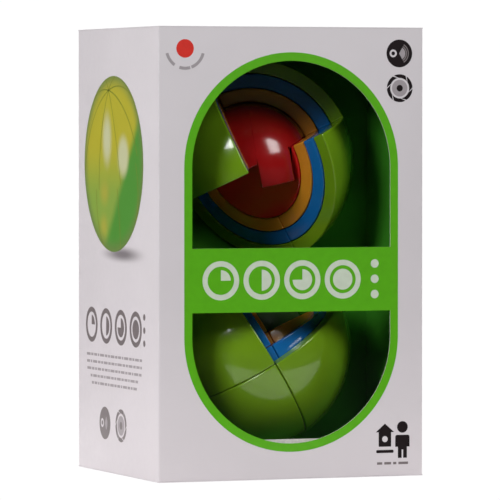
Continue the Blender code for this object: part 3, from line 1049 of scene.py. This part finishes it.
def print_back():
    """A plain back: the border without windows, three steps as rings and bars for small print."""
    border = [stadium(WINDOW_RADIUS + BORDER), stadium(WINDOW_RADIUS)]
    ink("back_border_print", border, "print_green", BACK_PLACE)
    band = bar(-WINDOW_RADIUS, BAND_LOW, WINDOW_RADIUS, BAND_HIGH)
    ink("back_band_print", [band], "print_green", BACK_PLACE)
    on_band = BACK_PLACE @ Matrix.Translation((0, 0, INK_LIFT))
    progress_row("back_row_print", "print_pale", on_band, BACK_ROW_LEFT, BAND_MIDDLE)
    for number, shade in enumerate(("print_red", "print_line", "print_grey")):
        x = (number - 1) * BACK_STEP_PITCH
        rings = [disc(x, BACK_STEP_HEIGHT, radius) for radius in BACK_STEP_RADII]
        ink(f"back_step_{number}_print", rings, shade, BACK_PLACE)
    for name, top in BACK_WORD_TOPS.items():
        rows = (0.0, top, BACK_WORD_WIDTHS, WORD_HEIGHT, BACK_WORD_PITCH)
        word_rows(f"back_{name}_words_print", "print_light_grey", BACK_PLACE, *rows)


# Studio


def make_camera():
    """A long lens in front and to the left, a little above the carton's middle."""
    camera = bpy.data.cameras.new("camera")
    camera.sensor_width = 36.0
    camera.lens = CAMERA_LENS
    camera.clip_end = 100.0
    obj = add_object("camera", camera)
    obj.location = CAMERA_PLACE
    obj.rotation_euler = (radians(90 - CAMERA_DIP), 0.0, radians(CAMERA_TURN))
    bpy.context.scene.camera = obj


def soft_box(name, azimuth, elevation, distance, wide, high, radiance):
    """A softbox aimed at the upper ball. Angles are in degrees, azimuth from the front to the right."""
    width, height = (2 * distance * tan(radians(angle) / 2) for angle in (wide, high))
    light = bpy.data.lights.new(name, "AREA")
    light.shape = "RECTANGLE"
    light.size, light.size_y = width, height
    light.energy = radiance * pi * width * height
    obj = add_object(name, light)
    turn, lift = radians(azimuth), radians(elevation)
    aim = Vector((sin(turn) * cos(lift), -cos(turn) * cos(lift), sin(lift)))
    obj.location = SOFTBOX_AIM + aim * distance
    obj.rotation_euler = (-aim).to_track_quat("-Z", "Y").to_euler()


def paper(name, colour, gleam):
    """Matt paper that the camera sees as an even white; gleam adds to what glossy surfaces mirror of it."""
    made = Nodes(name)
    made.set(base_color=(*colour, 1.0), roughness=0.9)
    white = made.add("Emission")
    white.inputs["Strength"].default_value = SEEN_WHITE
    path = made.add("LightPath")
    share = made.add("Math", operation="MULTIPLY")
    share.inputs[1].default_value = gleam
    made.link(path.outputs["Is Glossy Ray"], share.inputs[0])
    mirrored = made.add("Emission")
    made.link(share.outputs["Value"], mirrored.inputs["Strength"])
    lit = made.add("AddShader")
    made.link(made.shader.outputs["BSDF"], lit.inputs[0])
    made.link(mirrored.outputs["Emission"], lit.inputs[1])
    mix = made.add("MixShader")
    made.link(path.outputs["Is Camera Ray"], mix.inputs["Fac"])
    made.link(lit.outputs["Shader"], mix.inputs[1])
    made.link(white.outputs["Emission"], mix.inputs[2])
    made.link(mix.outputs["Shader"], made.tree.nodes["Material Output"].inputs["Surface"])
    return made.material


def make_floor():
    """A dark floor with a bright sheet under the carton. The camera sees both as white."""
    bm = bmesh.new()
    bmesh.ops.create_circle(bm, cap_ends=True, segments=96, radius=FLOOR_RADIUS)
    sheet = box_mesh("floor_sheet", SHEET_LOW, SHEET_HIGH)
    sheets = (
        ("floor", mesh_from(bm, "floor"), (0.03, 0.03, 0.03), 0.0, -0.0006),
        ("floor_sheet", sheet, (0.72, 0.67, 0.67), 0.30, -0.0002),
    )
    for name, mesh, colour, gleam, height in sheets:
        obj = add_object(name, mesh)
        obj.location.z = height
        mesh.materials.append(paper(f"{name}_paper", colour, gleam))


def make_world():
    """A dim room, with a white backdrop behind the object."""
    world = bpy.data.worlds.new("studio")
    bpy.context.scene.world = world
    world.use_nodes = True
    tree = world.node_tree
    room = tree.nodes["Background"]
    room.inputs["Color"].default_value = (0.96, 0.98, 1.0, 1.0)
    room.inputs["Strength"].default_value = ROOM_LIGHT
    backdrop = tree.nodes.new("ShaderNodeBackground")
    backdrop.inputs["Color"].default_value = (1.0, 1.0, 1.0, 1.0)
    backdrop.inputs["Strength"].default_value = SEEN_WHITE
    path = tree.nodes.new("ShaderNodeLightPath")
    mix = tree.nodes.new("ShaderNodeMixShader")
    tree.links.new(path.outputs["Is Camera Ray"], mix.inputs["Fac"])
    tree.links.new(room.outputs["Background"], mix.inputs[1])
    tree.links.new(backdrop.outputs["Background"], mix.inputs[2])
    tree.links.new(mix.outputs["Shader"], tree.nodes["World Output"].inputs["Surface"])


def make_studio():
    """Two softboxes in front of the carton, and a larger and softer one on its left, right and back."""
    make_floor()
    make_world()
    soft_box("key_softbox", azimuth=-52, elevation=24, distance=1.1, wide=17, high=17, radiance=22.0)
    soft_box("fill_softbox", azimuth=29, elevation=31, distance=1.2, wide=21, high=27, radiance=10.0)
    soft_box("left_softbox", azimuth=-115, elevation=16, distance=1.3, wide=34, high=38, radiance=3.9)
    soft_box("right_softbox", azimuth=105, elevation=25, distance=1.3, wide=34, high=38, radiance=5.0)
    soft_box("back_softbox", azimuth=180, elevation=30, distance=1.3, wide=34, high=38, radiance=5.0)
    bpy.context.scene.view_settings.view_transform = "Standard"


make_camera()
make_studio()
make_sleeve()
finish_cad_pieces()
make_tray()
make_core(make_shells())
print_front()
print_side("left", LEFT_PLACE, 1)
print_side("right", RIGHT_PLACE, -1)
print_back()
